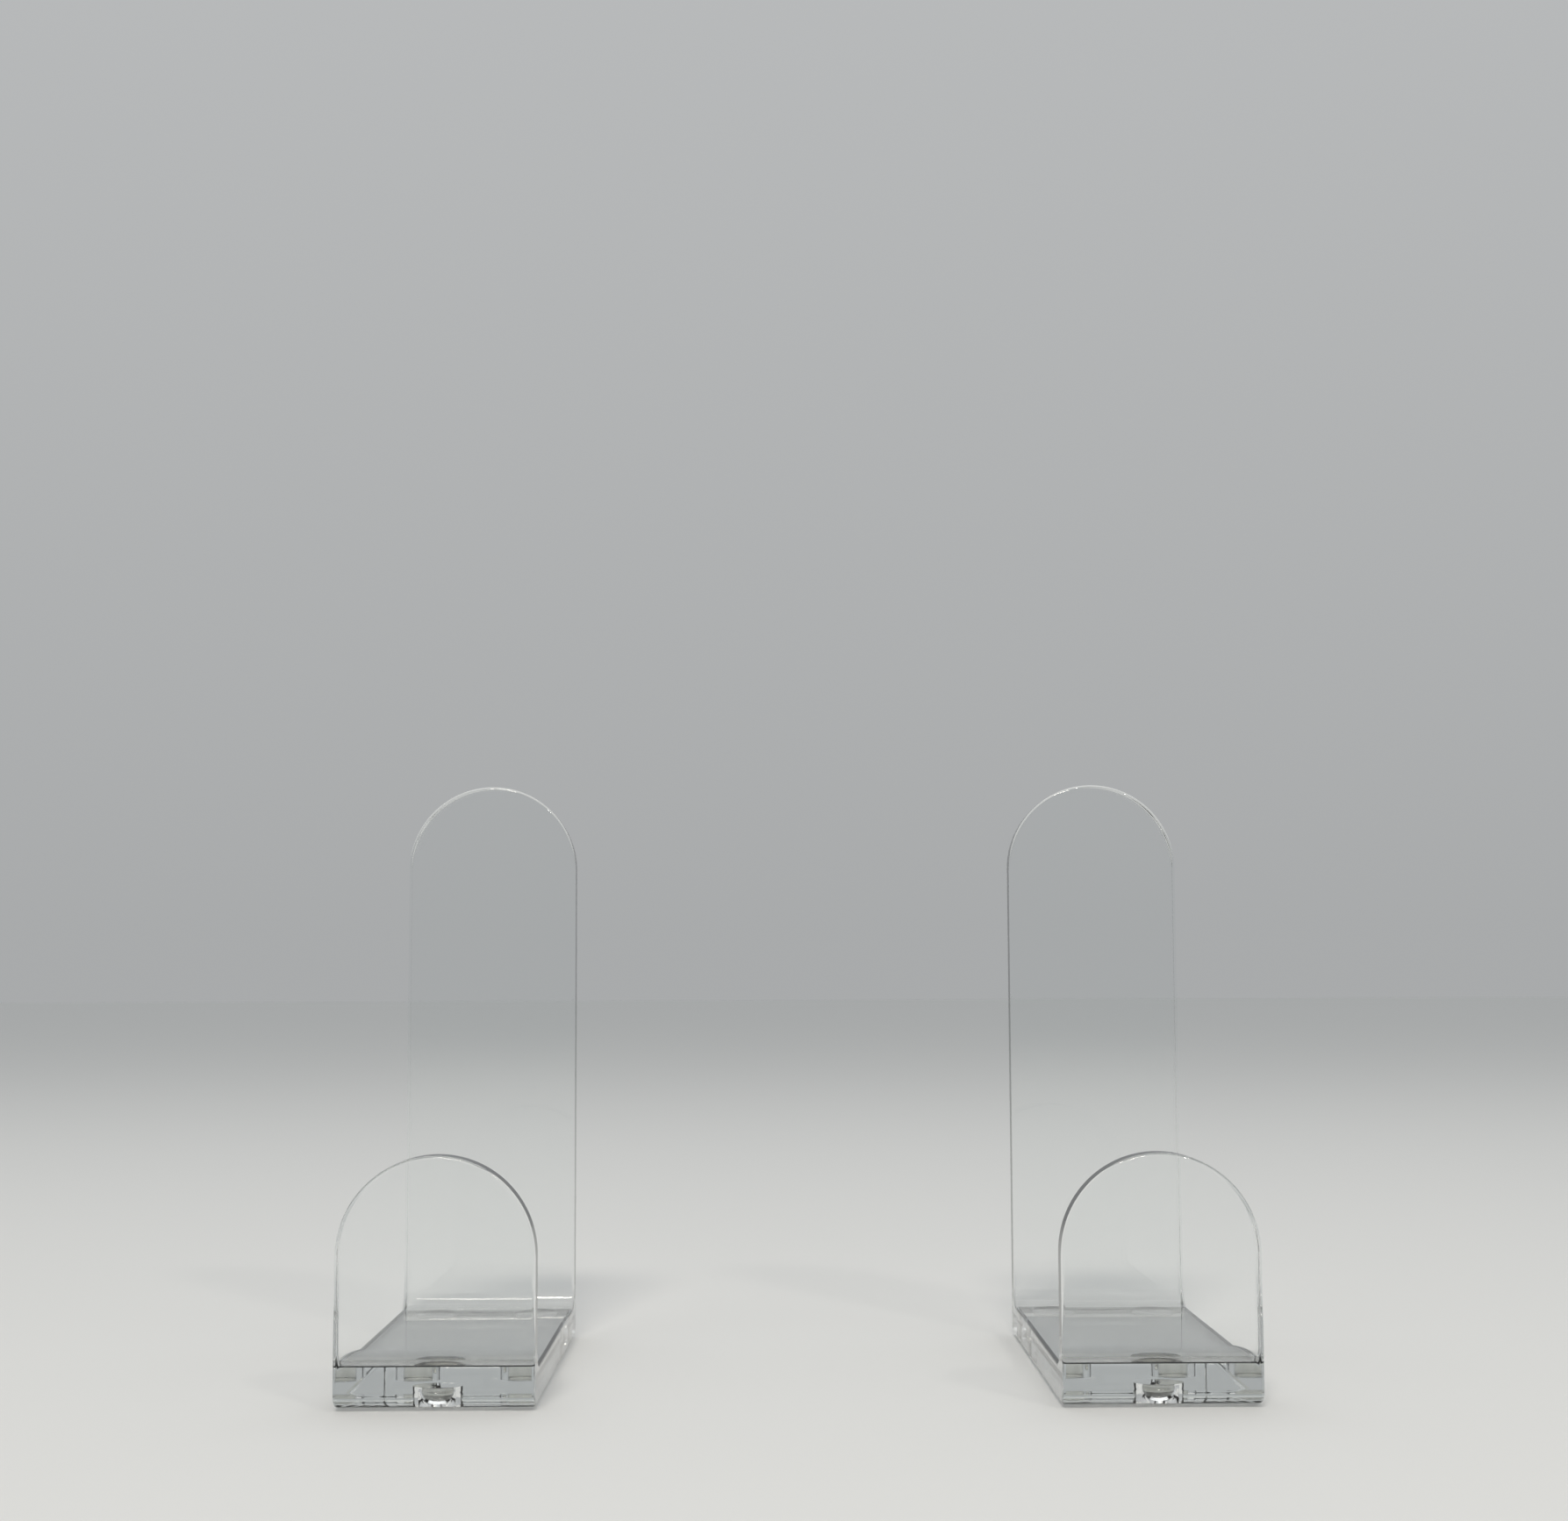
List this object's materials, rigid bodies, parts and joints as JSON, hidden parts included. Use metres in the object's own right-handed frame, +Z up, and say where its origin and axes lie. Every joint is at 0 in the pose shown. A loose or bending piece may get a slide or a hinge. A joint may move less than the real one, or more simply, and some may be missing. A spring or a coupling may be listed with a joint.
{
  "type": "plate display stand",
  "caption": "Pair of clear supports, each a flat foot with a round-topped lip and a taller round-topped back rest, that hold a display plate leaning back on a table.",
  "frame": {"origin": "table level, at the middle of the stand's footprint box", "axes": "+X across the pair towards the right support, +Y from the lips to the back rests, +Z up"},
  "size_m": [0.1634, 0.09, 0.1165],
  "materials": {
    "clear_acrylic": "polished clear acrylic",
    "clear_bumper": "clear soft polyurethane"
  },
  "bodies": {
    "left": {"left_support": "clear_acrylic", "left_front_bumper": "clear_bumper", "left_rear_outer_bumper": "clear_bumper", "left_rear_inner_bumper": "clear_bumper"},
    "right": {"right_support": "clear_acrylic", "right_front_bumper": "clear_bumper", "right_rear_outer_bumper": "clear_bumper", "right_rear_inner_bumper": "clear_bumper"}
  },
  "joints": [
    {"name": "pair_spacing", "type": "slide", "parent": "left", "child": "right", "axis": [1, 0, 0], "range_m": [-0.058, 0.062]}
  ]
}
